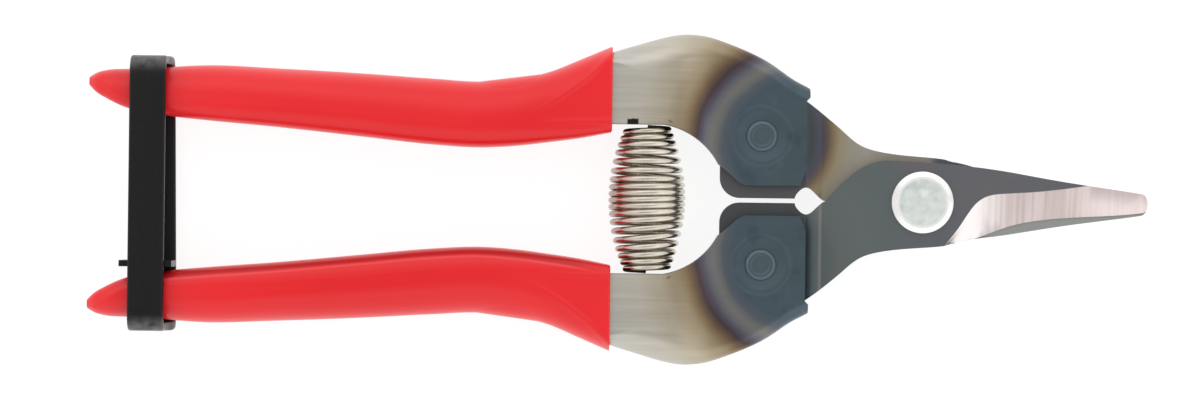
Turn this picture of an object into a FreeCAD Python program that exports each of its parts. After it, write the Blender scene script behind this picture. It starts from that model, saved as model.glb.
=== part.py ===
import FreeCAD, Part
import math
import os

# Bypass floral snips, in millimetres. The halves are alike: one is the other turned half a turn
# about the long axis. The work is laid out about the pivot axis, with the shear plane of the blades
# at z = 0, the tips of the blades towards +X and the lower half's handle on the -Y side. At the end
# all of it moves so that the origin lies under the middle of the closed snips.

V = FreeCAD.Vector
LONG_AXIS = V(1, 0, 0)

# Blades
blade_reach = 40.4        # pivot axis to the blade's tip
blade_thickness = 2.5
shear_gap = 0.04          # running gap between the two blades
edge_land = 0.15          # thickness left at the cutting edge
tang_gap = 0.8            # between the two tangs while the strap holds the handles shut
tang_back_x = -36.2
tang_front_x = -20.4
tang_top = 20.4           # hidden outer edge of the tang, inside the channel
tang_corner = 3.6
joggle_length = 2.8       # along X, where the plate steps from the tang to the blade

# Pivot
pivot_radius = 3.0
pivot_head_radius = 5.5
pivot_head_height = 1.7
pivot_head_chamfer = 0.9
pivot_tail_radius = 4.9
pivot_tail_height = 1.4
running_clearance = 0.05

# Pressed steel handle channels
wall = 1.5
channel_half_width = 4.9  # half the channel's width in Z where it holds the spring
throat_x = -48.5          # centre of the round throat between the handles
throat_radius = 13.6
seat_y = 13.4             # inner edge of the channel where the spring stands
cheek_front_x = -20.8     # front edge of the pinched cheeks over the tang
cheek_inner_y = 2.7
cheek_corner = 1.3
lip_length = 0.6          # how far the folded back reaches past the cheeks

# Tang rivets
rivet_x = -28.8
rivet_y = 11.5
rivet_radius = 2.7
rivet_stand = 0.12        # how far the rivet's ends stand out of the cheeks
rivet_chamfer = 0.2
dimple_radius = 4.6       # shallow dish pressed into the cheek round the rivet
dimple_depth = 0.35

# Grips
grip_wall = 1.1
grip_front_x = -55.6
grip_length = 93.6

# Spring
spring_x = -49.2
wire_diameter = 1.1
coil_end_radius = 4.15    # outside
coil_middle_radius = 6.95
mean_pitch = 1.225        # in wire diameters
pitch_swing = 0.20        # share by which the pitch varies along the barrel
coil_tilt = 0.3           # how far the open coils tip at their sides, wider away from the pivot
end_angle = 90.0          # degrees about the spring, so that both wire ends stand over a wall
seat_fit = 0.05

# Strap
strap_width = 6.9
strap_thickness = 1.5
strap_clearance = 0.3
strap_slack = 0.55        # between the strap and the backs of the grips
strap_along_grip = 0.886  # middle of the strap, as a share of the grip's length
strap_corner = 2.6
keeper_width = 9.4
keeper_thickness = 1.1
keeper_gap = 0.6          # between the keeper and the lower grip

# Stations of the grip from its front end to its tip: share of its length, outer Y, inner Y,
# half width in Z, depth of the rounded outer side, corner radius of the inner side
grip_stations = [
    (0.000, 27.3, 11.9, 6.00, 3.0, 1.4),
    (0.060, 24.9, 10.8, 6.25, 4.6, 2.0),
    (0.120, 22.6, 10.0, 6.55, 5.8, 2.8),
    (0.180, 21.3, 9.3, 6.80, 6.3, 3.4),
    (0.250, 20.7, 8.9, 6.95, 6.5, 3.8),
    (0.340, 21.1, 9.3, 7.00, 6.4, 3.8),
    (0.480, 21.9, 10.6, 7.00, 6.0, 3.8),
    (0.640, 22.6, 12.1, 6.95, 5.4, 3.4),
    (0.780, 23.0, 13.2, 6.05, 4.9, 3.0),
    (0.835, 22.7, 13.7, 5.25, 4.5, 2.7),
    (0.880, 22.3, 14.4, 4.90, 4.2, 2.4),
    (0.930, 22.2, 15.3, 4.55, 3.8, 2.1),
    (0.965, 22.0, 16.8, 3.80, 2.9, 1.6),
    (0.988, 21.4, 18.1, 2.60, 1.8, 1.0),
    (1.000, 20.7, 19.2, 1.20, 0.8, 0.4),
]
last_channel_station = 12  # the steel ends here, and the rest of the grip's tip is solid

# Stations of the bare channel from its front end back to the grip:
# X, outer Y, half width in Z as a share of the way from the pinched to the full width
channel_stations = [
    (-18.4, 17.7, 0.0),
    (-22.5, 21.3, 0.0),
    (-26.8, 24.2, 0.0),
    (-31.1, 26.5, 0.0),
    (-35.4, 28.2, 0.0),
    (-38.2, 29.1, 0.16),
    (-40.8, 29.5, 0.55),
    (-43.4, 29.5, 0.88),
    (-46.2, 29.0, 1.0),
    (-50.4, 27.8, 1.0),
]

# Outline of the neck, on the outer side from the channel to the blade, and of the spine's root,
# from the notch in front of the tangs to the pivot: X and distance from the middle line
neck_points = [
    (-20.2, 17.4), (-17.1, 15.0), (-14.6, 12.9), (-11.1, 10.1), (-7.5, 8.95), (-0.3, 8.15), (4.0, 7.75),
]
spine_root_points = [(-17.1, 0.0), (-14.2, 3.3), (-11.3, 5.7), (-9.2, 6.85)]

# Blade outline ahead of the pivot, as shares of the reach and Y in millimetres
spine_points = [
    (-0.155, 7.42), (0.09, 6.95), (0.36, 5.75), (0.52, 4.65), (0.70, 3.5), (0.88, 2.5), (0.972, 1.95),
]
edge_points = [(0.985, -1.4), (0.80, -2.1), (0.57, -2.75), (0.39, -4.1), (0.24, -6.3), (0.13, -7.35)]
# Rounded tip between them: distance back from the tip, Y
tip_points = [(0.35, 1.4), (0.0, 0.2), (0.12, -0.8)]
# Ground face of the blade: share of the reach, Y of its upper line, Y and height of its lower line
bevel_stations = [
    (0.085, -8.6, -9.4, 2.0),
    (0.125, -6.4, -7.6, 1.3),
    (0.16, -4.5, -7.1, 0.75),
    (0.20, -2.0, -6.7, 0.38),
    (0.24, 0.1, -6.3, 0.15),
    (0.29, 1.35, -5.5, 0.03),
    (0.36, 1.8, -4.5, 0.0),
    (0.46, 2.05, -3.5, 0.0),
    (0.58, 2.5, -2.75, 0.0),
    (0.70, 3.2, -2.4, 0.0),
    (0.83, 3.9, -2.05, 0.0),
    (0.95, 4.3, -1.65, 0.0),
    (1.06, 4.6, -1.2, 0.0),
]

half_blade = blade_thickness / 2
pinched_half_width = half_blade + wall
strap_x = grip_front_x - strap_along_grip * grip_length
work_height = 40.0        # taller than anything that it cuts


def polyline(points):
    return Part.makePolygon([V(*p) for p in points])


def curve_through(points):
    curve = Part.BSplineCurve()
    curve.interpolate([V(*p) for p in points])
    return curve.toShape()


def segment(a, b):
    return Part.LineSegment(V(*a), V(*b)).toShape()


def arc(a, middle, b):
    return Part.Arc(V(*a), V(*middle), V(*b)).toShape()


def prism(edges, low, high):
    face = Part.Face(Part.Wire(Part.__sortEdges__(edges)))
    face.translate(V(0, 0, low))
    return face.extrude(V(0, 0, high - low))


def cylinder(radius, low, high, x=0.0, y=0.0):
    return Part.makeCylinder(radius, high - low, V(x, y, low))


def value_at(points, x):
    """Straight-line reading of a list of (x, y) at x."""
    points = sorted(points)
    for (x0, y0), (x1, y1) in zip(points, points[1:]):
        if x <= x1:
            return y0 + (y1 - y0) * (x - x0) / (x1 - x0)
    return points[-1][1]


# ---- sections of the handle, drawn in a YZ plane of the lower half ----

def handle_section(x, outer, inner, half_width, depth, corner):
    """Closed wire: flat inner side with rounded corners, half-round outer side."""
    def at(y, z):
        return (x, -y, z)

    def quarter(centre_y, centre_z, a, b, start, end):
        turn = start + (end - start) / 2
        points = [(centre_y + a * math.cos(t), centre_z + b * math.sin(t))
                  for t in (start, (start + turn) / 2, turn, (turn + end) / 2, end)]
        return curve_through([at(*p) for p in points])

    side = half_width - corner
    shoulder = outer - depth
    quarter_turn = math.pi / 2
    edges = [
        segment(at(inner, -side), at(inner, side)),
        quarter(inner + corner, side, corner, corner, 2 * quarter_turn, quarter_turn),
        segment(at(inner + corner, half_width), at(shoulder, half_width)),
        quarter(shoulder, 0, depth, half_width, quarter_turn, 0),
        quarter(shoulder, 0, depth, half_width, 0, -quarter_turn),
        segment(at(shoulder, -half_width), at(inner + corner, -half_width)),
        quarter(inner + corner, -side, corner, corner, -quarter_turn, -2 * quarter_turn),
    ]
    return Part.Wire(edges)


def loft(sections):
    return Part.makeLoft(sections, True, False)


def handle_stations(inset):
    """Stations of the whole steel handle from front to back: x, outer, inner, half width, depth."""
    found = []
    for x, outer, share in channel_stations:
        half = pinched_half_width + share * (channel_half_width - pinched_half_width)
        inner = 11.2 if x < throat_x + 6 else max(1.0, math.sqrt(max(0.0, 11.5**2 - (x - throat_x) ** 2)) - 1)
        found.append((x, outer - inset, inner, half - inset, half - inset))
    for share, outer, inner, half, depth, corner in grip_stations[: last_channel_station + 1]:
        x = grip_front_x - share * grip_length
        cover = grip_wall + inset
        under = inner + grip_wall + 0.6 * max(0.0, corner - grip_wall)
        found.append((x, outer - cover, under, half - cover, min(depth, half) - cover))
    return found


def grip_outside():
    sections = []
    for share, outer, inner, half, depth, corner in grip_stations:
        x = grip_front_x - share * grip_length
        sections.append(handle_section(x, outer, inner, half, min(depth, half), corner))
    return loft(sections)


def channel_outside():
    corner = 0.3
    return loft([handle_section(x, o, i, h, d, corner) for x, o, i, h, d in handle_stations(0.0)])


def channel_inside():
    """The hollow of the channel, open on its inner side, and the flat slot that the tang fills."""
    sections = []
    for x, outer, inner, half, depth in handle_stations(wall):
        if x < tang_back_x - 1.5:
            sections.append(handle_section(x, outer, inner - 6.0, half, min(depth, half), 0.3))
    hollow = loft(sections)
    slot_back = tang_back_x - 2.5
    fold = [(x, -(outer - wall), 0) for x, outer, share in channel_stations if x > slot_back]
    slot = prism(
        [
            curve_through(fold),
            segment(fold[-1], (slot_back, fold[-1][1], 0)),
            segment((slot_back, fold[-1][1], 0), (slot_back, 8, 0)),
            segment((slot_back, 8, 0), (fold[0][0], 8, 0)),
            segment((fold[0][0], 8, 0), fold[0]),
        ],
        -half_blade,
        half_blade,
    )
    return hollow, slot


def head_outline():
    """Plan of the bare head of the channel, ahead of the grip, as a prism."""
    far = -work_height
    start_x = grip_front_x - 0.2
    throat_end = (tang_back_x - 0.3, -math.sqrt(throat_radius**2 - (tang_back_x - 0.3 - throat_x) ** 2))
    throat_start = (throat_x + math.sqrt(throat_radius**2 - seat_y**2), -seat_y)
    middle_angle = (math.atan2(*reversed((throat_end[0] - throat_x, throat_end[1])))
                    + math.atan2(*reversed((throat_start[0] - throat_x, throat_start[1])))) / 2
    throat_middle = (throat_x + throat_radius * math.cos(middle_angle), throat_radius * math.sin(middle_angle))
    corner_x = tang_back_x + 3.4
    lip_y = -(neck_points[0][1] + 0.5)
    lip_x = cheek_front_x + lip_length
    slant = cheek_corner * (1 - math.sqrt(0.5))
    front_corner = (cheek_front_x - slant, -(cheek_inner_y + slant))
    return prism(
        [
            segment((start_x, far, 0), (start_x, -seat_y, 0)),
            segment((start_x, -seat_y, 0), (*throat_start, 0)),
            arc((*throat_start, 0), (*throat_middle, 0), (*throat_end, 0)),
            segment((*throat_end, 0), (corner_x, -cheek_inner_y - 0.5, 0)),
            segment((corner_x, -cheek_inner_y - 0.5, 0), (corner_x + 1.0, -cheek_inner_y, 0)),
            segment((corner_x + 1.0, -cheek_inner_y, 0), (cheek_front_x - cheek_corner, -cheek_inner_y, 0)),
            arc((cheek_front_x - cheek_corner, -cheek_inner_y, 0), (*front_corner, 0),
                (cheek_front_x, -cheek_inner_y - cheek_corner, 0)),
            segment((cheek_front_x, -cheek_inner_y - cheek_corner, 0), (cheek_front_x, lip_y, 0)),
            segment((cheek_front_x, lip_y, 0), (lip_x, lip_y - 0.6, 0)),
            segment((lip_x, lip_y - 0.6, 0), (lip_x, far, 0)),
            segment((lip_x, far, 0), (start_x, far, 0)),
        ],
        -work_height,
        work_height,
    )


def make_shell():
    outside = channel_outside()
    hollow, slot = channel_inside()
    shell = outside.cut(hollow).cut(slot)
    rear_length = grip_length + 10
    rear = Part.makeBox(rear_length, 2 * work_height, 2 * work_height,
                        V(grip_front_x - 0.2 - rear_length, -1.5 * work_height, -work_height))
    shell = shell.common(head_outline().fuse(rear))
    shell = shell.cut(cylinder(rivet_radius, -work_height, work_height, rivet_x, -rivet_y))
    for side in (1, -1):
        dish = Part.makeCone(rivet_radius, dimple_radius + 0.6, dimple_depth + 0.12,
                             V(rivet_x, -rivet_y, side * (pinched_half_width - dimple_depth)), V(0, 0, side))
        shell = shell.cut(dish)
    return shell


def make_grip():
    return grip_outside().cut(channel_outside())


# ---- blade and tang in one piece ----

def blade_outline():
    """Plan outline of the lower half's blade and tang, walked from the tang's back edge."""
    root = spine_root_points
    spine = [(share * blade_reach, y, 0) for share, y in spine_points]
    edge = [(share * blade_reach, y, 0) for share, y in edge_points]
    neck = [(x, -y, 0) for x, y in neck_points]
    half_gap = -tang_gap / 2
    corner = tang_corner
    slant = corner * (1 - math.sqrt(0.5))
    stop_end = tang_front_x - 2.4
    shoulder = -tang_top
    return [
        segment((tang_back_x, shoulder + 4, 0), (tang_back_x, half_gap - corner, 0)),
        arc((tang_back_x, half_gap - corner, 0), (tang_back_x + slant, half_gap - slant, 0),
            (tang_back_x + corner, half_gap, 0)),
        segment((tang_back_x + corner, half_gap, 0), (stop_end, half_gap, 0)),
        curve_through([(stop_end, half_gap, 0), (stop_end + 1.1, half_gap - 1.6, 0),
                       (stop_end + 2.1, half_gap - 2.0, 0), (stop_end + 3.4, half_gap - 1.3, 0),
                       (*root[0], 0)]),
        curve_through([(x, y, 0) for x, y in root] + [spine[0]]),
        curve_through(spine),
        curve_through([spine[-1]] + [(blade_reach - back, y, 0) for back, y in tip_points] + [edge[0]]),
        curve_through(edge),
        segment(edge[-1], neck[-1]),
        curve_through(neck),
        segment(neck[0], (tang_front_x - 4.2, shoulder, 0)),
        segment((tang_front_x - 4.2, shoulder, 0), (tang_back_x + 5, shoulder, 0)),
        segment((tang_back_x + 5, shoulder, 0), (tang_back_x, shoulder + 4, 0)),
    ]


def blade_side_profile():
    """Side view of the joggled plate: the tang on the middle plane, the blade beside it."""
    inner = shear_gap / 2
    outer = inner + blade_thickness
    bend_start = cheek_front_x
    bend_end = bend_start + joggle_length
    profile = polyline([
        (tang_back_x - 5, 0, -half_blade),
        (bend_start, 0, -half_blade),
        (bend_end, 0, inner),
        (blade_reach + 5, 0, inner),
        (blade_reach + 5, 0, outer),
        (bend_end, 0, outer),
        (bend_start, 0, half_blade),
        (tang_back_x - 5, 0, half_blade),
        (tang_back_x - 5, 0, -half_blade),
    ])
    face = Part.Face(profile)
    face.translate(V(0, -work_height, 0))
    return face.extrude(V(0, 2 * work_height, 0))


def grinding_cutter():
    inner = shear_gap / 2
    top = inner + blade_thickness
    sections = []
    for share, upper, lower, height in bevel_stations:
        x = share * blade_reach
        floor = inner + edge_land + height * blade_thickness / 2.5
        floor = min(floor, top - 0.05)
        slope = (top - floor) / (upper - lower)
        sections.append(polyline([
            (x, upper + 1.0, top + slope),
            (x, lower, floor),
            (x, lower - 0.5, floor),
            (x, lower - 4.0, floor + 0.5),
            (x, lower - 4.0, top + slope),
            (x, upper + 1.0, top + slope),
        ]))
    return loft(sections)


def make_blade(hole_radius):
    plate = prism(blade_outline(), -work_height, work_height).common(blade_side_profile())
    plate = plate.cut(cylinder(hole_radius, -work_height, work_height))
    plate = plate.cut(cylinder(rivet_radius, -work_height, work_height, rivet_x, -rivet_y))
    return plate.cut(grinding_cutter())


# ---- fasteners, spring and strap ----

def make_pivot_rivet():
    blade_top = shear_gap / 2 + blade_thickness
    under_tail = -(blade_top + running_clearance)
    shank = cylinder(pivot_radius, under_tail, blade_top)
    head = cylinder(pivot_head_radius, blade_top, blade_top + pivot_head_height)
    rim = [e for e in head.Edges if abs(e.BoundBox.ZMin - blade_top - pivot_head_height) < 0.01
           and abs(e.BoundBox.ZMax - blade_top - pivot_head_height) < 0.01]
    head = head.makeChamfer(pivot_head_chamfer, rim)
    tail = Part.makeCone(pivot_tail_radius - 1.6, pivot_tail_radius, pivot_tail_height,
                         V(0, 0, under_tail - pivot_tail_height))
    return shank.fuse([head, tail]).removeSplitter()


def make_tang_rivet():
    top = pinched_half_width + rivet_stand
    body = cylinder(rivet_radius, -top, top, rivet_x, -rivet_y)
    rims = [e for e in body.Edges if e.BoundBox.ZLength < 0.01]
    return body.makeChamfer(rivet_chamfer, rims)


def make_spring():
    """Barrel spring with closed coils in the middle and at both ends."""
    end = seat_y - seat_fit - wire_diameter / 2
    turns = round(2 * end / (mean_pitch * wire_diameter))
    steps = 12 * turns
    points = []
    for step in range(steps + 1):
        share = step / steps
        swing = math.sin(4 * math.pi * share) / (4 * math.pi) - math.sin(8 * math.pi * share) / (32 * math.pi)
        y = end * (2 * (share - pitch_swing * swing) - 1)
        radius = (coil_end_radius + (coil_middle_radius - coil_end_radius) * (1 - (y / end) ** 2)
                  - wire_diameter / 2)
        angle = math.radians(end_angle) - 2 * math.pi * turns * (share - 0.5)
        across = radius * math.cos(angle)
        tip = coil_tilt * math.sin(math.pi * y / end) ** 2 * across / coil_middle_radius
        points.append((spring_x + across, y - math.copysign(tip, y), radius * math.sin(angle)))
    path = Part.Wire(curve_through(points))
    start = path.Edges[0]
    tangent = start.tangentAt(start.FirstParameter)
    wire = Part.Wire(Part.makeCircle(wire_diameter / 2, V(*points[0]), tangent))
    return path.makePipeShell([wire], True, True)


def grip_at(x):
    """Outer Y, inner Y and half width of the grip where it crosses x."""
    share = (grip_front_x - x) / grip_length
    return [value_at([(s[0], s[i]) for s in grip_stations], share) for i in (1, 2, 3)]


def strap_inside():
    """Half height in Y and half width in Z of the loop's inner face."""
    edges = [grip_at(strap_x + side * strap_width / 2) for side in (1, -1)]
    half_y = max(e[0] for e in edges) + strap_slack
    half_z = max(e[2] for e in edges) + strap_clearance
    return half_y, half_z


def loop_block(half_y, half_z, width, corner):
    block = Part.makeBox(width, 2 * half_y, 2 * half_z, V(strap_x - width / 2, -half_y, -half_z))
    long_edges = [e for e in block.Edges if e.BoundBox.XLength > width - 0.01]
    return block.makeFillet(corner, long_edges)


def make_strap_band():
    half_y, half_z = strap_inside()
    outside = loop_block(half_y + strap_thickness, half_z + strap_thickness, strap_width,
                         strap_corner + strap_thickness)
    return outside.cut(loop_block(half_y, half_z, strap_width + 2, strap_corner))


def make_strap_keeper():
    half_z = strap_inside()[1]
    low = -(grip_at(strap_x + keeper_width / 2)[1] - keeper_gap)
    return Part.makeBox(keeper_width, keeper_thickness, 2 * half_z,
                        V(strap_x - keeper_width / 2, low, -half_z))


def other_half(shape):
    turned = shape.copy()
    turned.rotate(V(0, 0, 0), LONG_AXIS, 180)
    return turned


def main():
    shell = make_shell()
    grip = make_grip()
    tang_rivet = make_tang_rivet()
    parts = {
        "front_blade": make_blade(pivot_radius),
        "rear_blade": other_half(make_blade(pivot_radius + running_clearance)),
        "lower_handle_shell": shell,
        "upper_handle_shell": other_half(shell),
        "lower_grip": grip,
        "upper_grip": other_half(grip),
        "lower_tang_rivet": tang_rivet,
        "upper_tang_rivet": other_half(tang_rivet),
        "pivot_rivet": make_pivot_rivet(),
        "spring": make_spring(),
        "strap_band": make_strap_band(),
        "strap_keeper": make_strap_keeper(),
    }
    boxes = [shape.optimalBoundingBox(True, False) for shape in parts.values()]
    middle_x = (min(b.XMin for b in boxes) + max(b.XMax for b in boxes)) / 2
    bottom = min(b.ZMin for b in boxes)
    os.makedirs("parts", exist_ok=True)
    for name, shape in parts.items():
        shape.translate(V(-middle_x, 0, -bottom))
        shape.exportStep("parts/" + name + ".step")
        print(name, shape.isValid(), len(shape.Solids), round(shape.Volume, 1))
    print("pivot at x", round(-middle_x, 3), "shear plane at z", round(-bottom, 3))


main()
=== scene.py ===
import math

import bmesh
import bpy
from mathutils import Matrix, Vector


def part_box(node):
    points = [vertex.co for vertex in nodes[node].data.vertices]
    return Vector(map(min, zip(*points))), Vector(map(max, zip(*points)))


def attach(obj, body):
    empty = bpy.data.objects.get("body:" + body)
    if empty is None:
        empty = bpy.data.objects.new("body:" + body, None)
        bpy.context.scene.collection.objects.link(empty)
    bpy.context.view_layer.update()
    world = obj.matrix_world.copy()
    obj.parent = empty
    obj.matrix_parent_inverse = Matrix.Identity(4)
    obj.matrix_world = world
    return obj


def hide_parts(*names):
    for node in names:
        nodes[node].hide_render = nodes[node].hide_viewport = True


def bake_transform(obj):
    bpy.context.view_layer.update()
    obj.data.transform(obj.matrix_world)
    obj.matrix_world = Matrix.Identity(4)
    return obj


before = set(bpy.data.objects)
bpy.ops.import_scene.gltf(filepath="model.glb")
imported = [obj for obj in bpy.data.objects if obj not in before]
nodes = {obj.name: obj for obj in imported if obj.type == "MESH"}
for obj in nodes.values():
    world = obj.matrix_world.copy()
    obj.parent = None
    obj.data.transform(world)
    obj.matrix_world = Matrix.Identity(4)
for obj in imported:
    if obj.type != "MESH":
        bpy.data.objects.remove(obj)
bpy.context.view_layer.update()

mm = 0.001

# The pivot's axis and the blades' shear plane, in the row frame
pivotX = sum(corner.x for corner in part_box("pivot_rivet")) / 2
shearZ = sum(corner.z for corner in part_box("lower_handle_shell")) / 2


def say(stage):
    print("stage:", stage, flush=True)


# Shader maths

class Shade:
    # A shader socket that takes part in sums, so materials read as formulas
    def __init__(self, tree, socket):
        self.tree = tree
        self.socket = socket

    def plug(self, target, value):
        if isinstance(value, Shade):
            self.tree.links.new(value.socket, target)
        else:
            target.default_value = value

    def make(self, kind, inputs, output=0, **settings):
        node = self.tree.nodes.new(kind)
        for key, value in settings.items():
            setattr(node, key, value)
        for key, value in inputs.items():
            self.plug(node.inputs[key], value)
        return Shade(self.tree, node.outputs[output])

    def maths(self, operation, *values):
        return self.make("ShaderNodeMath", dict(enumerate(values)), operation=operation)

    def __add__(self, other):
        return self.maths("ADD", self, other)

    def __radd__(self, other):
        return self.maths("ADD", other, self)

    def __sub__(self, other):
        return self.maths("SUBTRACT", self, other)

    def __rsub__(self, other):
        return self.maths("SUBTRACT", other, self)

    def __mul__(self, other):
        return self.maths("MULTIPLY", self, other)

    def __rmul__(self, other):
        return self.maths("MULTIPLY", other, self)

    def __truediv__(self, other):
        return self.maths("DIVIDE", self, other)

    def power(self, exponent):
        return self.maths("POWER", self, exponent)

    def absolute(self):
        return self.maths("ABSOLUTE", self)

    def clamped(self):
        return self.make("ShaderNodeClamp", {"Value": self})

    def step(self, start, end):
        # 0 before start, 1 after end, smooth between
        return self.make("ShaderNodeMapRange", {"Value": self, "From Min": start, "From Max": end},
                         interpolation_type="SMOOTHSTEP")

    def blendTo(self, other, amount):
        # self is a colour; amount may be a socket
        return self.make("ShaderNodeMix", {0: amount, 6: self, 7: other}, output=2, data_type="RGBA")

    def tinted(self, amount):
        # multiplies a colour by a grey value
        return self.make("ShaderNodeVectorMath", {0: self, 3: amount}, operation="SCALE")

    def split(self):
        node = self.tree.nodes.new("ShaderNodeSeparateXYZ")
        self.tree.links.new(self.socket, node.inputs[0])
        return [Shade(self.tree, output) for output in node.outputs]

    def noise(self, scale, detail=2.0, stretch=(1, 1, 1)):
        point = self.make("ShaderNodeVectorMath", {0: self, 1: stretch}, operation="MULTIPLY")
        return self.make("ShaderNodeTexNoise", {"Vector": point, "Scale": scale, "Detail": detail})

    def ramp(self, stops):
        node = self.tree.nodes.new("ShaderNodeValToRGB")
        self.tree.links.new(self.socket, node.inputs[0])
        elements = node.color_ramp.elements
        while len(elements) < len(stops):
            elements.new(0.5)
        for element, (place, colour) in zip(elements, stops):
            element.position = place
            element.color = colour
        return Shade(self.tree, node.outputs[0])


def rgb(red, green, blue):
    # Display values 0-255 to linear light
    return tuple((c / 255 / 12.92) if c <= 10 else ((c / 255 + 0.055) / 1.055) ** 2.4
                 for c in (red, green, blue)) + (1.0,)


def material(name, recipe):
    # recipe(point) takes the object coordinates and returns the Principled inputs
    made = bpy.data.materials.new(name)
    made.use_nodes = True
    tree = made.node_tree
    surface = next(n for n in tree.nodes if n.type == "BSDF_PRINCIPLED")
    coordinates = tree.nodes.new("ShaderNodeTexCoord")
    point = Shade(tree, coordinates.outputs["Object"])
    for key, value in recipe(point).items():
        point.plug(surface.inputs[key], value)
    return made


def bump(point, height, distance, strength=1.0):
    return point.make("ShaderNodeBump", {"Height": height, "Distance": distance, "Strength": strength})


# Steel finishes

# Places in mm that several finishes share
tangRivetX, tangRivetY = -28.8, 11.5

handleLook = {
    "centreX": -22.0,          # middle of the heat's rings, mm from the pivot
    "centreY": 9.5,
    "reach": 40.0,
    "wander": 2.4,
    "roughness": 0.34,
    "brushing": 0.06,
    "dishGlintRing": 5.3,          # mm from the tang rivet's middle
    "notchX": -51.9,
    "nipX": -45.3,
    "nipY": 13.9,
}

# Heat colours by distance from the quenched end, in mm
shellColours = [
    (0.0, rgb(72, 87, 93)), (8.0, rgb(74, 89, 96)), (12.0, rgb(74, 88, 98)), (13.7, rgb(88, 94, 102)),
    (14.6, rgb(108, 109, 108)), (15.5, rgb(117, 116, 113)), (16.5, rgb(104, 104, 110)),
    (17.4, rgb(84, 80, 92)), (18.4, rgb(72, 58, 63)), (19.5, rgb(102, 83, 66)), (20.6, rgb(130, 110, 83)),
    (21.9, rgb(150, 136, 110)), (23.3, rgb(161, 147, 123)), (25.2, rgb(176, 165, 145)),
    (27.2, rgb(182, 174, 156)), (29.5, rgb(189, 183, 170)), (40.0, rgb(186, 187, 183)),
]


def planePlace(point):
    # x and y in mm from the pivot, and z in mm from the shear plane
    x, y, z = point.split()
    return (x - pivotX) / mm, y / mm, (z - shearZ) / mm


def distanceFrom(x, y, centreX, centreY):
    return ((x - centreX).power(2.0) + (y - centreY).power(2.0)).power(0.5)


def shellSteel(point):
    look = handleLook
    x, y, z = planePlace(point)
    sideways = y.absolute()
    wander = (point.noise(90.0, 3.0) - 0.5) * look["wander"]
    distance = distanceFrom(x, sideways, look["centreX"], look["centreY"]) + wander
    stops = [(place / look["reach"], colour) for place, colour in shellColours]
    colour = (distance / look["reach"]).clamped().ramp(stops)
    streaks = point.noise(1.0, 3.0, stretch=(60, 1400, 60))
    bare = distance.step(18.0, 26.0)
    colour = colour.tinted(1.0 + (streaks - 0.5) * (bare * 0.30 + 0.08))
    # Cheeks mottled by the quench, with pale patches and a painted highlight ring on the edge of the rivet's
    # dish
    cheek = distance.step(13.5, 11.0)
    cloud = point.noise(230.0, 4.0)
    ring = distanceFrom(x, sideways, tangRivetX, tangRivetY) + (cloud - 0.5) * 1.4
    paleMottleAndDishGlint = (ring - look["dishGlintRing"]).absolute().step(0.5, 0.1) * 0.5 + cloud.step(0.56, 0.72) * 0.6
    colour = colour.blendTo(rgb(96, 112, 114), cheek * paleMottleAndDishGlint * 0.45)
    colour = colour.blendTo(rgb(58, 74, 82), cheek * cloud.step(0.46, 0.30) * 0.5)
    # Painted shadow inside the channel where the spring enters the upper handle, and a small dark nip mark
    # beside it on both
    ragged = sideways + (point.noise(1500.0, 2.0) - 0.5) * 0.9
    channelShadow = (x - look["notchX"]).absolute().step(1.15, 0.85) * ragged.step(14.5, 14.2) * y.step(0.0, 1.0)
    slanted = x + (sideways - 14.0) * 0.8
    nip = distanceFrom(slanted, sideways, look["nipX"], look["nipY"]).step(0.45, 0.15)
    shadowAndNip = channelShadow.maths("MAXIMUM", channelShadow, nip * 0.45)
    colour = colour.blendTo(rgb(32, 28, 26), shadowAndNip)
    speckle = point.noise(2600.0, 2.0)
    return {
        "Base Color": colour,
        "Metallic": 0.72,
        "Roughness": look["roughness"] + (streaks - 0.5) * look["brushing"],
        "Normal": bump(point, speckle + streaks * bare, 0.00002, 0.35),
    }


bladeLook = {
    "roughness": 0.42,
    "flatTop": 2.50,           # the plate's outer face, mm from the shear plane
    "flatInner": 0.12,
    "groundFrom": 2.5,         # where the ground face may start, mm ahead of the pivot
    "rimHighlightTint": 0.7,
    "rearNeck": (11.0, 3.0),   # the rear blade's neck colours fade out between these
}

# Tints in the flat plate's cloudy patches, and on the neck by share of neckReach from the tang rivet
plateTints = [
    (0.30, rgb(79, 87, 93)), (0.46, rgb(86, 90, 98)), (0.60, rgb(93, 90, 96)), (0.75, rgb(84, 95, 108)),
]
neckReach = 24.0
neckTints = [
    (0.0, rgb(58, 60, 62)), (0.385, rgb(56, 59, 62)), (0.425, rgb(60, 66, 76)), (0.462, rgb(72, 66, 78)),
    (0.50, rgb(90, 80, 70)), (0.542, rgb(128, 110, 82)), (0.585, rgb(146, 134, 108)),
    (0.66, rgb(148, 142, 126)), (0.80, rgb(156, 150, 138)), (1.0, rgb(146, 140, 128)),
]
grindTints = [(0.2, rgb(176, 162, 160)), (0.5, rgb(196, 182, 179)), (0.8, rgb(216, 204, 201))]


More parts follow.
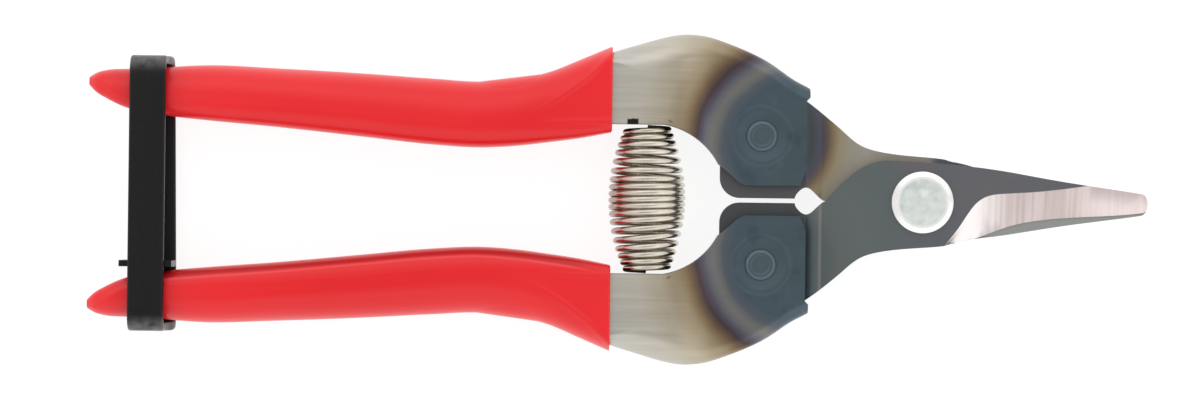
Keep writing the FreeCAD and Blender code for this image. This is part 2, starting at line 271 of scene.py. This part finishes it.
def bladeSteel(front):
    def recipe(point):
        x, y, z = planePlace(point)
        side = 1.0 if front else -1.0
        across = y * side        # positive towards the blade's spine
        height = z * side
        patches = point.noise(70.0, 3.0)
        dark = patches.ramp(plateTints)
        if front:
            dark = dark.blendTo(rgb(76, 90, 92), x.step(-1.0, -7.0) * 0.85)
        rivet = distanceFrom(x, across, tangRivetX, -tangRivetY)
        neck = (rivet / neckReach).clamped().ramp(neckTints)
        body = dark.blendTo(neck, 0.12 if front else x.step(*bladeLook["rearNeck"]))
        tang = rgb(64, 64, 66) if front else rgb(82, 81, 84)
        body = body.blendTo(tang, x.step(-20.0, -21.6) * 0.85)
        # The ground face lies below the plate's flat face
        top, inner, start = bladeLook["flatTop"], bladeLook["flatInner"], bladeLook["groundFrom"]
        below = height.step(top, top - 0.03) * height.step(inner / 2, inner)
        inside = height.step(inner, inner / 2) * x.step(1.0, 3.0)
        normal = point.make("ShaderNodeNewGeometry", {}, output=1).split()[2].absolute()
        ground = below * normal.step(0.55, 0.75) * x.step(start, start + 1.0)
        marks = point.noise(1.0, 2.0, stretch=(1500, 40, 40))
        bright = marks.ramp(grindTints)
        bright = bright.blendTo(rgb(236, 222, 220), x.step(24.0, 34.0) * 0.6)
        # The whitening towards the ground face's start is a painted highlight
        bright = bright.blendTo(rgb(250, 245, 244), x.step(17.0, 8.0) * 0.8)
        honed = x.step(6.0, 13.0).ramp([(0.0, rgb(92, 92, 98)), (1.0, rgb(148, 150, 148))])
        # Painted highlight along the plate's chamfered edges near its outer face
        rimHighlight = normal.step(0.97, 0.85) * height.step(2.2, 2.36)
        colour = body.blendTo(rgb(142, 130, 122), rimHighlight * bladeLook["rimHighlightTint"])
        colour = colour.blendTo(honed, inside).blendTo(bright, ground)
        return {
            "Base Color": colour,
            "Metallic": 0.45 + ground * 0.35,
            "Roughness": bladeLook["roughness"] + (patches - 0.5) * 0.1 - ground * 0.1,
            "Normal": bump(point, marks * ground + point.noise(1900.0, 2.0) * 0.5, 0.00002, 0.3),
        }
    return recipe


pivotLook = {"roughness": 0.34, "metallic": 0.55, "glintFrom": 4.0, "glintTo": 4.4}


def zinc(point):
    look = pivotLook
    x, y, z = planePlace(point)
    middle = distanceFrom(x, y, 0.0, 0.0)
    mottled = point.noise(520.0, 3.0)
    flat = mottled.ramp([(0.3, rgb(206, 214, 209)), (0.5, rgb(222, 228, 223)), (0.7, rgb(238, 240, 237))])
    # The head's rim is painted near white from glintFrom outwards, a painted highlight wider than its
    # chamfer
    rimHighlight = middle.step(look["glintFrom"], look["glintTo"])
    return {
        "Base Color": flat.blendTo(rgb(252, 252, 251), rimHighlight),
        "Metallic": look["metallic"],
        "Roughness": look["roughness"] + (mottled - 0.5) * 0.2 - rimHighlight * 0.1,
        "Normal": bump(point, mottled * (1.0 - rimHighlight), 0.00004, 0.25),
    }


rivetLook = {"roughness": 0.36, "metallic": 0.6, "radius": 3.0, "ridge": 2.0}


def rivetSteel(point):
    look = rivetLook
    x, y, z = planePlace(point)
    middle = distanceFrom(x, y.absolute(), tangRivetX, tangRivetY)
    # The paler band just inside the head's edge is a painted highlight
    colour = (middle / look["radius"]).clamped().ramp([
        (0.0, rgb(78, 92, 96)), (0.7, rgb(70, 86, 92)), (0.88, rgb(104, 118, 124)), (1.0, rgb(60, 74, 82)),
    ])
    ridge = (middle - look["ridge"]).absolute().step(0.6, 0.0)
    return {
        "Base Color": colour,
        "Metallic": look["metallic"],
        "Roughness": look["roughness"],
        "Normal": bump(point, ridge, 0.00025, 0.6),
    }


springLook = {"roughness": 0.22, "gripReflectionStrength": 0.55, "middleX": -49.2}


def springNickel(point):
    x, y, z = planePlace(point)
    # A pinkish tint on the side towards the grips is a painted reflection of the red vinyl
    gripReflection = (x - springLook["middleX"]).step(1.0, -6.5)
    nickel = point.noise(300.0, 2.0).ramp([(0.3, rgb(206, 200, 186)), (0.7, rgb(228, 222, 208))])
    colour = nickel.tinted(0.9).blendTo(rgb(146, 106, 102), gripReflection * springLook["gripReflectionStrength"])
    return {"Base Color": colour, "Metallic": 1.0, "Roughness": springLook["roughness"]}


gripLook = {
    "roughness": 0.34,
    "coat": 0.1,
    "specular": 0.38,
    "shadeFrom": 0.3,           # mm from the grip's inner edge
    "shadeTo": 1.3,
    "creaseHighlightAt": 1.65,
    "rearFade": (-146.0, -136.0),
    "frontFade": (-56.0, -64.0),
}


def redVinyl(edgeShaded):
    def recipe(point):
        look = gripLook
        cloud = point.noise(26.0, 2.0)
        colour = cloud.ramp([(0.35, rgb(222, 18, 26)), (0.65, rgb(230, 26, 33))])
        if edgeShaded:
            # A darker band near the inner edge is painted shade, standing for the inner side face, and the
            # pale line beside it is a painted highlight on a crease; only the lower grip has them
            place = point.make("ShaderNodeUVMap", {}, uv_map="acrossGrip").split()
            along = place[0] - pivotX / mm
            across = place[1] + (point.noise(60.0, 2.0) - 0.5) * 0.5
            run = along.step(*look["rearFade"]) * along.step(*look["frontFade"])
            band = across.step(look["shadeFrom"] - 0.4, look["shadeFrom"] + 0.1)
            band = band * across.step(look["shadeTo"] + 0.25, look["shadeTo"] - 0.15)
            creaseHighlight = (across - look["creaseHighlightAt"]).absolute().step(0.35, 0.05)
            colour = colour.blendTo(rgb(176, 22, 27), band * run * 0.8)
            colour = colour.blendTo(rgb(240, 72, 74), creaseHighlight * run * 0.6)
        return {
            "Base Color": colour,
            "Roughness": look["roughness"] + (cloud - 0.5) * 0.08,
            "Specular IOR Level": look["specular"],
            "Coat Weight": look["coat"],
            "Normal": bump(point, point.noise(900.0, 2.0), 0.00002, 0.25),
        }
    return recipe


strapLook = {"roughness": 0.34, "specular": 0.25, "bendHighlightFrom": 21.6, "bendHighlightTo": 23.9}


def blackStrap(point):
    # Darker on the flat runs, with a painted highlight in grey where it bends round the grips
    x, y, z = planePlace(point)
    grain = point.noise(1700.0, 3.0)
    colour = grain.ramp([(0.3, rgb(11, 11, 12)), (0.7, rgb(16, 16, 17))])
    bendHighlight = y.absolute().step(strapLook["bendHighlightFrom"], strapLook["bendHighlightTo"])
    bendHighlight = bendHighlight * point.noise(600.0, 2.0).step(0.1, 0.7)
    return {
        "Base Color": colour.blendTo(rgb(104, 104, 106), bendHighlight * 0.8),
        "Specular IOR Level": strapLook["specular"],
        "Roughness": strapLook["roughness"] + (grain - 0.5) * 0.15,
        "Normal": bump(point, grain, 0.00004, 0.4),
    }


looks = {
    "frontBlade": material("frontBladeSteel", bladeSteel(True)),
    "rearBlade": material("rearBladeSteel", bladeSteel(False)),
    "shell": material("temperedSteel", shellSteel),
    "pivot": material("zinc", zinc),
    "rivet": material("rivetSteel", rivetSteel),
    "spring": material("springNickel", springNickel),
    "lowerGrip": material("redVinylEdgeShaded", redVinyl(True)),
    "upperGrip": material("redVinyl", redVinyl(False)),
    "strap": material("blackStrap", blackStrap),
}
worn = {
    "front_blade": "frontBlade", "rear_blade": "rearBlade",
    "lower_handle_shell": "shell", "upper_handle_shell": "shell",
    "lower_tang_rivet": "rivet", "upper_tang_rivet": "rivet", "pivot_rivet": "pivot",
    "lower_grip": "lowerGrip", "upper_grip": "upperGrip",
    "spring": "spring", "strap_band": "strap", "strap_keeper": "strap",
}
for node, look in worn.items():
    nodes[node].data.materials.clear()
    nodes[node].data.materials.append(looks[look])
say("materials")


# Shaped pieces

def finished(name, mesh, look, body, slot, *stands):
    # Puts a plain mesh in the scene as a finished piece that stands for CAD nodes
    piece = bpy.data.objects.new(name, mesh)
    bpy.context.scene.collection.objects.link(piece)
    mesh.materials.clear()
    mesh.materials.append(look)
    if body:
        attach(piece, body)
    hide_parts(*stands)
    return piece


def softened(name, node, rounding, look, body, slot):
    # A copy of a CAD solid with its sharp edges broken, as a tumbled or buffed part has
    mesh = nodes[node].data.copy()
    work = bmesh.new()
    work.from_mesh(mesh)
    bmesh.ops.remove_doubles(work, verts=work.verts, dist=0.000002)
    bmesh.ops.dissolve_limit(work, angle_limit=math.radians(0.5), verts=work.verts, edges=work.edges)
    work.to_mesh(mesh)
    work.free()
    draft = bpy.data.objects.new(name + "Draft", mesh)
    bpy.context.scene.collection.objects.link(draft)
    edge = draft.modifiers.new("edge", "BEVEL")
    edge.width = rounding["width"] * mm
    edge.segments = rounding["segments"]
    edge.limit_method = "ANGLE"
    edge.angle_limit = math.radians(38)
    edge.harden_normals = True
    edge.use_clamp_overlap = True
    graph = bpy.context.evaluated_depsgraph_get()
    result = bpy.data.meshes.new_from_object(draft.evaluated_get(graph))
    bpy.data.objects.remove(draft)
    return finished(name, result, look, body, slot, node)


def between(points, place):
    # Smooth reading of a table of rows at place, by the rows' first column
    last = len(points) - 2
    index = next((i for i in range(last + 1) if place <= points[i + 1][0]), last)
    a, b = points[index], points[index + 1]
    before = points[max(index - 1, 0)]
    after = points[min(index + 2, last + 1)]
    span = b[0] - a[0]
    t = min(max((place - a[0]) / span, 0.0), 1.0)
    values = []
    for k in range(1, len(a)):
        rise = (b[k] - a[k]) / span
        slopeA = slopeB = rise
        if before is not a:
            back = a[0] - before[0]
            slopeA = (rise * back + (a[k] - before[k]) / back * span) / (back + span)
        if after is not b:
            ahead = after[0] - b[0]
            slopeB = (rise * ahead + (after[k] - b[k]) / ahead * span) / (ahead + span)
        slopeA, slopeB = slopeA * span, slopeB * span
        values.append(
            a[k] * (2 * t**3 - 3 * t**2 + 1) + slopeA * (t**3 - 2 * t**2 + t)
            + b[k] * (3 * t**2 - 2 * t**3) + slopeB * (t**3 - t**2)
        )
    return values


gripShape = {
    "frontX": -55.6,           # mm from the pivot
    "length": 93.6,
    "skin": 1.1,
    "lipRound": 0.35,
    "clearance": 0.005,        # keeps the vinyl just inside the solid grip's width
    # share of the length, outer Y, inner Y, half width in Z, rounded outer depth, inner corner
    "stations": [
        (0.000, 27.3, 11.9, 6.00, 3.0, 1.4), (0.060, 24.9, 10.8, 6.25, 4.6, 2.0),
        (0.120, 22.6, 10.0, 6.55, 5.8, 2.8), (0.180, 21.3, 9.3, 6.80, 6.3, 3.4),
        (0.250, 20.7, 8.9, 6.95, 6.5, 3.8), (0.340, 21.1, 9.3, 7.00, 6.4, 3.8),
        (0.480, 21.9, 10.6, 7.00, 6.0, 3.8), (0.640, 22.6, 12.1, 6.95, 5.4, 3.4),
        (0.780, 23.0, 13.2, 6.05, 4.9, 3.0), (0.835, 22.7, 13.7, 5.25, 4.5, 2.7),
        (0.880, 22.3, 14.4, 4.90, 4.2, 2.4), (0.930, 22.2, 15.3, 4.55, 3.8, 2.1),
        (0.965, 22.0, 16.8, 3.80, 2.9, 1.6), (0.988, 21.4, 18.1, 2.60, 1.8, 1.0),
        (1.000, 20.7, 19.2, 1.20, 0.8, 0.4),
    ],
    # creases raised in the dipped skin: their points, height and half width in mm
    "creases": [
        ([(-55.6, 26.0), (-60.0, 21.6), (-64.5, 18.2), (-70.0, 14.8)], 0.34, 0.50),
        ([(-55.6, 13.7), (-61.0, 13.7), (-68.0, 13.4)], 0.22, 0.45),
        ([(-148.0, 20.6), (-145.5, 18.9), (-142.6, 17.3)], 0.20, 0.45),
    ],
}


def nearLine(points, x, y):
    # Distance from a point to a line of points, and how far along that is, 0 to 1
    best, place = 1e9, 0.0
    for index, ((ax, ay), (bx, by)) in enumerate(zip(points, points[1:])):
        lengthSquared = (bx - ax) ** 2 + (by - ay) ** 2
        t = min(max(((x - ax) * (bx - ax) + (y - ay) * (by - ay)) / lengthSquared, 0.0), 1.0)
        distance = math.hypot(x - ax - t * (bx - ax), y - ay - t * (by - ay))
        if distance < best:
            best, place = distance, (index + t) / (len(points) - 1)
    return best, place


def gripRing(x, inset):
    # One section as (y, z) pairs in mm for the lower grip, walked round from its inner side
    share = (gripShape["frontX"] - x) / gripShape["length"]
    outer, inner, half, depth, corner = between(gripShape["stations"], share)
    outer, inner, half = outer - inset, inner + inset, half - inset - gripShape["clearance"]
    depth, corner = max(depth - inset, 0.2), max(corner - inset, 0.15)
    half = max(half, 0.25)
    corner, depth = min(corner, half), min(depth, outer - inner - corner)
    ring = []
    for i in range(10):
        ring.append((inner, -(half - corner) + 2 * (half - corner) * i / 10))
    for i in range(8):
        angle = math.pi - math.pi / 2 * i / 8
        ring.append((inner + corner + corner * math.cos(angle), half - corner + corner * math.sin(angle)))
    for i in range(28):
        ring.append((inner + corner + (outer - depth - inner - corner) * i / 28, half))
    for i in range(48):
        angle = math.pi / 2 - math.pi * i / 48
        ring.append((outer - depth + depth * math.cos(angle), half * math.sin(angle)))
    for i in range(28):
        ring.append((outer - depth - (outer - depth - inner - corner) * i / 28, -half))
    for i in range(8):
        angle = -math.pi / 2 - math.pi / 2 * i / 8
        ring.append((inner + corner + corner * math.cos(angle), -(half - corner) + corner * math.sin(angle)))
    return ring, inner, half


def gripMesh(name, turned):
    front, length = gripShape["frontX"], gripShape["length"]
    lip, skin = gripShape["lipRound"], gripShape["skin"]
    places = []
    x = front - lip
    while x > front - length + 0.5:
        places.append((x, 0.0))
        x -= 0.34 if x > front - 16 else (0.9 if x > front - 84 else 0.4)
    places += [(front - length + d, 0.0) for d in (0.3, 0.1, 0.0)]
    bore = [(front - depth, skin) for depth in (60.0, 30.0, 8.0, 1.0)] + [(front, skin - 0.05)]
    rounded = [(front - lip * (1 - math.cos(a)), lip * (1 - math.sin(a))) for a in (0.35, 0.8, 1.2)]
    rows = bore + rounded + places
    vertices, faces, across = [], [], []
    count = 0
    for x, inset in rows:
        ring, inner, half = gripRing(x, inset)
        count = len(ring)
        for y, z in ring:
            if inset < lip and abs(z) > 0.3 * half:
                for points, height, width in gripShape["creases"]:
                    distance, place = nearLine(points, x, y)
                    if distance < 4 * width:
                        fade = 0.0
                        if place < 1:
                            fade = math.sin(math.pi * (0.5 + 0.5 * place)) ** 0.7
                        z += math.copysign(height * fade * math.exp(-((distance / width) ** 2)), z)
            side = 1 if turned else -1
            vertices.append(((x * mm + pivotX), side * y * mm, shearZ - side * z * mm))
            across.append(y - inner)
    for r in range(len(rows) - 1):
        for i in range(count):
            j = (i + 1) % count
            faces.append((r * count + i, r * count + j, (r + 1) * count + j, (r + 1) * count + i))
    faces.append(tuple(reversed(range(count))))
    faces.append(tuple((len(rows) - 1) * count + i for i in range(count)))
    mesh = bpy.data.meshes.new(name)
    mesh.from_pydata(vertices, [], faces)
    work = bmesh.new()
    work.from_mesh(mesh)
    bmesh.ops.recalc_face_normals(work, faces=work.faces)
    work.to_mesh(mesh)
    work.free()
    for face in mesh.polygons:
        face.use_smooth = True
    layer = mesh.uv_layers.new(name="acrossGrip")
    for loop in mesh.loops:
        layer.data[loop.index].uv = (vertices[loop.vertex_index][0] / mm, across[loop.vertex_index])
    return mesh


# Node-built pieces

def nodeTree(name, wanted):
    # A geometry tree with named float inputs; returns it, a Shade on its group input to build nodes from,
    # and the inputs as Shades
    tree = bpy.data.node_groups.new(name, "GeometryNodeTree")
    tree.interface.new_socket("Geometry", in_out="OUTPUT", socket_type="NodeSocketGeometry")
    for label, value in wanted.items():
        socket = tree.interface.new_socket(label, in_out="INPUT", socket_type="NodeSocketFloat")
        socket.default_value = value
    source = tree.nodes.new("NodeGroupInput")
    inputs = {label: Shade(tree, source.outputs[label]) for label in wanted}
    return tree, Shade(tree, source.outputs[0]), inputs


def grown(name, tree, values):
    # Evaluates a geometry tree on an empty mesh and returns the plain mesh
    draft = bpy.data.objects.new(name + "Draft", bpy.data.meshes.new(name + "Draft"))
    bpy.context.scene.collection.objects.link(draft)
    modifier = draft.modifiers.new(name, "NODES")
    modifier.node_group = tree
    for item in tree.interface.items_tree:
        if item.item_type == "SOCKET" and item.in_out == "INPUT":
            modifier[item.identifier] = values[item.name]
    graph = bpy.context.evaluated_depsgraph_get()
    mesh = bpy.data.meshes.new_from_object(draft.evaluated_get(graph))
    bpy.data.objects.remove(draft)
    mesh.name = name
    return mesh


def closeTree(tree, start, geometry, look):
    # Every tree ends in realized instances with the piece's material
    real = start.make("GeometryNodeRealizeInstances", {0: geometry})
    dressed = start.make("GeometryNodeSetMaterial", {"Geometry": real, "Material": look})
    end = tree.nodes.new("NodeGroupOutput")
    tree.links.new(dressed.socket, end.inputs[0])


springShape = {
    "Centre X": -49.2, "Turns": 19.0, "Half Length": 12.8, "End Radius": 3.6, "Middle Radius": 6.4,
    "Wire Radius": 0.55, "Pitch Swing": 0.20, "Coil Tilt": 0.3, "Points": 900.0,
}


def springTree():
    tree, start, size = nodeTree("barrelSpring", springShape)
    line = start.make("GeometryNodeCurvePrimitiveLine", {"End": (0.0, 1.0, 0.0)})
    dense = start.make("GeometryNodeResampleCurve", {"Curve": line, "Count": size["Points"]})
    share = start.make("GeometryNodeSplineParameter", {})
    whole = 2 * math.pi
    swing = (share * (2 * whole)).maths("SINE", share * (2 * whole)) * (1 / (2 * whole))
    swing = swing - share.maths("SINE", share * (4 * whole)) * (1 / (16 * whole))
    along = (share - size["Pitch Swing"] * swing) * 2.0 - 1.0
    radius = size["End Radius"] + (size["Middle Radius"] - size["End Radius"]) * (1.0 - along * along)
    angle = 0.5 * math.pi - (share - 0.5) * size["Turns"] * whole
    across = radius * share.maths("COSINE", angle)
    bow = share.maths("SINE", along * math.pi)
    tip = along.maths("SIGN", along) * size["Coil Tilt"] * bow * bow * across / size["Middle Radius"]
    place = start.make("ShaderNodeCombineXYZ", {
        0: (across + size["Centre X"]) * mm + pivotX,
        1: (along * size["Half Length"] - tip) * mm,
        2: radius * share.maths("SINE", angle) * mm + shearZ,
    })
    coil = start.make("GeometryNodeSetPosition", {"Geometry": dense, "Position": place})
    circle = start.make("GeometryNodeCurvePrimitiveCircle",
                        {"Resolution": 12, "Radius": size["Wire Radius"] * mm})
    tube = start.make("GeometryNodeCurveToMesh", {"Curve": coil, "Profile Curve": circle, "Fill Caps": True})
    smooth = start.make("GeometryNodeSetShadeSmooth", {"Geometry": tube})
    closeTree(tree, start, smooth, looks["spring"])
    return tree


strapShape = {
    "Centre X": -138.35, "Half Y": 23.86, "Half Z": 6.18, "Width": 6.45, "Thickness": 1.5,
    "Bend": 2.9, "Edge Round": 0.45, "Skew": 1.1,
}


def strapTree():
    tree, start, size = nodeTree("strapLoop", strapShape)
    path = start.make("GeometryNodeCurvePrimitiveQuadrilateral",
                      {"Width": size["Half Y"] * 2.0, "Height": size["Half Z"] * 2.0})
    path = start.make("GeometryNodeFilletCurve",
                      {"Curve": path, "Count": 14, "Radius": size["Bend"]}, mode="POLY")
    path = start.make("GeometryNodeResampleCurve", {"Curve": path, "Count": 240})
    path = start.make("GeometryNodeSetCurveNormal", {"Curve": path}, mode="Z_UP")
    section = start.make("GeometryNodeCurvePrimitiveQuadrilateral",
                         {"Width": size["Thickness"], "Height": size["Width"]})
    section = start.make("GeometryNodeFilletCurve",
                         {"Curve": section, "Count": 5, "Radius": size["Edge Round"]}, mode="POLY")
    band = start.make("GeometryNodeCurveToMesh", {"Curve": path, "Profile Curve": section})
    around, across, along = start.make("GeometryNodeInputPosition", {}).split()
    rear = across.step(1.0, -5.0)
    skew = rear * size["Skew"] * (1.0 - around * 0.0134)
    place = start.make("ShaderNodeCombineXYZ", {
        0: (along + size["Centre X"] + skew) * mm + pivotX,
        1: around * mm,
        2: across * mm + shearZ,
    })
    band = start.make("GeometryNodeSetPosition", {"Geometry": band, "Position": place})
    smooth = start.make("GeometryNodeSetShadeSmooth", {"Geometry": band})
    closeTree(tree, start, smooth, looks["strap"])
    return tree


finished("lowerGrip", gripMesh("lowerGrip", False), looks["lowerGrip"], "lower_half", "grip_vinyl",
         "lower_grip")
finished("upperGrip", gripMesh("upperGrip", True), looks["upperGrip"], "upper_half", "grip_vinyl",
         "upper_grip")
say("grips")

coil = finished("barrelSpring", grown("barrelSpring", springTree(), springShape), looks["spring"], None,
                "spring_nickel", "spring")
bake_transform(coil)
say("spring")

finished("strapLoop", grown("strapLoop", strapTree(), strapShape), looks["strap"], "strap",
         "black_strap", "strap_band")
say("strap")

bladeEdge = {"width": 0.18, "segments": 2}

softened("frontBlade", "front_blade", bladeEdge, looks["frontBlade"], "lower_half", "blade_steel")
softened("rearBlade", "rear_blade", bladeEdge, looks["rearBlade"], "upper_half", "blade_steel")
say("blades")


# Studio

studio = {
    "cameraHeight": 1.0,
    "viewWidth": 0.2149,
    "viewCentre": (-0.0032, -0.0008),
    "roll": 0.7,
    "keyPower": 2.2,
    "fillPower": 1.0,
    "lampSize": 1.6,
    "worldLevel": 1.1,
    "zenithLevel": 0.5,
    "floorTone": 0.25,
    "floorGlow": 0.85,
}

floorMesh = bpy.data.meshes.new("floor")
floorMesh.from_pydata([(-3, -3, 0), (3, -3, 0), (3, 3, 0), (-3, 3, 0)], [], [(0, 1, 2, 3)])
floor = bpy.data.objects.new("floor", floorMesh)
bpy.context.scene.collection.objects.link(floor)


def paleFloor(point):
    return {
        "Base Color": (studio["floorTone"],) * 3 + (1.0,),
        "Roughness": 0.9,
        "Specular IOR Level": 0.0,
        "Emission Color": rgb(255, 255, 255),
        "Emission Strength": studio["floorGlow"],
    }


floorLook = material("paleFloor", paleFloor)
floorMesh.materials.append(floorLook)


def areaLight(name, place, target, size, power):
    light = bpy.data.lights.new(name, "AREA")
    light.shape = "DISK"
    light.size = size
    light.energy = power
    lamp = bpy.data.objects.new(name, light)
    lamp.location = place
    lamp.rotation_euler = (Vector(target) - Vector(place)).to_track_quat("-Z", "Y").to_euler()
    bpy.context.scene.collection.objects.link(lamp)
    return lamp


areaLight("keyLight", (-0.25, 0.65, 0.9), (0, 0, 0), studio["lampSize"], studio["keyPower"])
areaLight("fillLight", (0.5, -0.5, 0.8), (0, 0, 0), studio["lampSize"], studio["fillPower"])

# A bright room whose ceiling is darker right above, where the camera hangs
world = bpy.data.worlds.new("world")
world.use_nodes = True
background = world.node_tree.nodes["Background"]
direction = Shade(world.node_tree, world.node_tree.nodes.new("ShaderNodeTexCoord").outputs["Generated"])
height = direction.split()[2]
level = studio["worldLevel"] - height.step(0.72, 0.98) * (studio["worldLevel"] - studio["zenithLevel"])
direction.plug(background.inputs["Strength"], level)
background.inputs["Color"].default_value = (1, 1, 1, 1)
bpy.context.scene.world = world

cameraData = bpy.data.cameras.new("camera")
camera = bpy.data.objects.new("camera", cameraData)
bpy.context.scene.collection.objects.link(camera)
cameraData.sensor_width = 36.0
cameraData.lens = 36.0 * studio["cameraHeight"] / studio["viewWidth"]
camera.location = (*studio["viewCentre"], shearZ + studio["cameraHeight"])
camera.rotation_euler = (0, 0, math.radians(studio["roll"]))
bpy.context.scene.camera = camera
bpy.context.scene.view_settings.view_transform = "Standard"
say("studio")
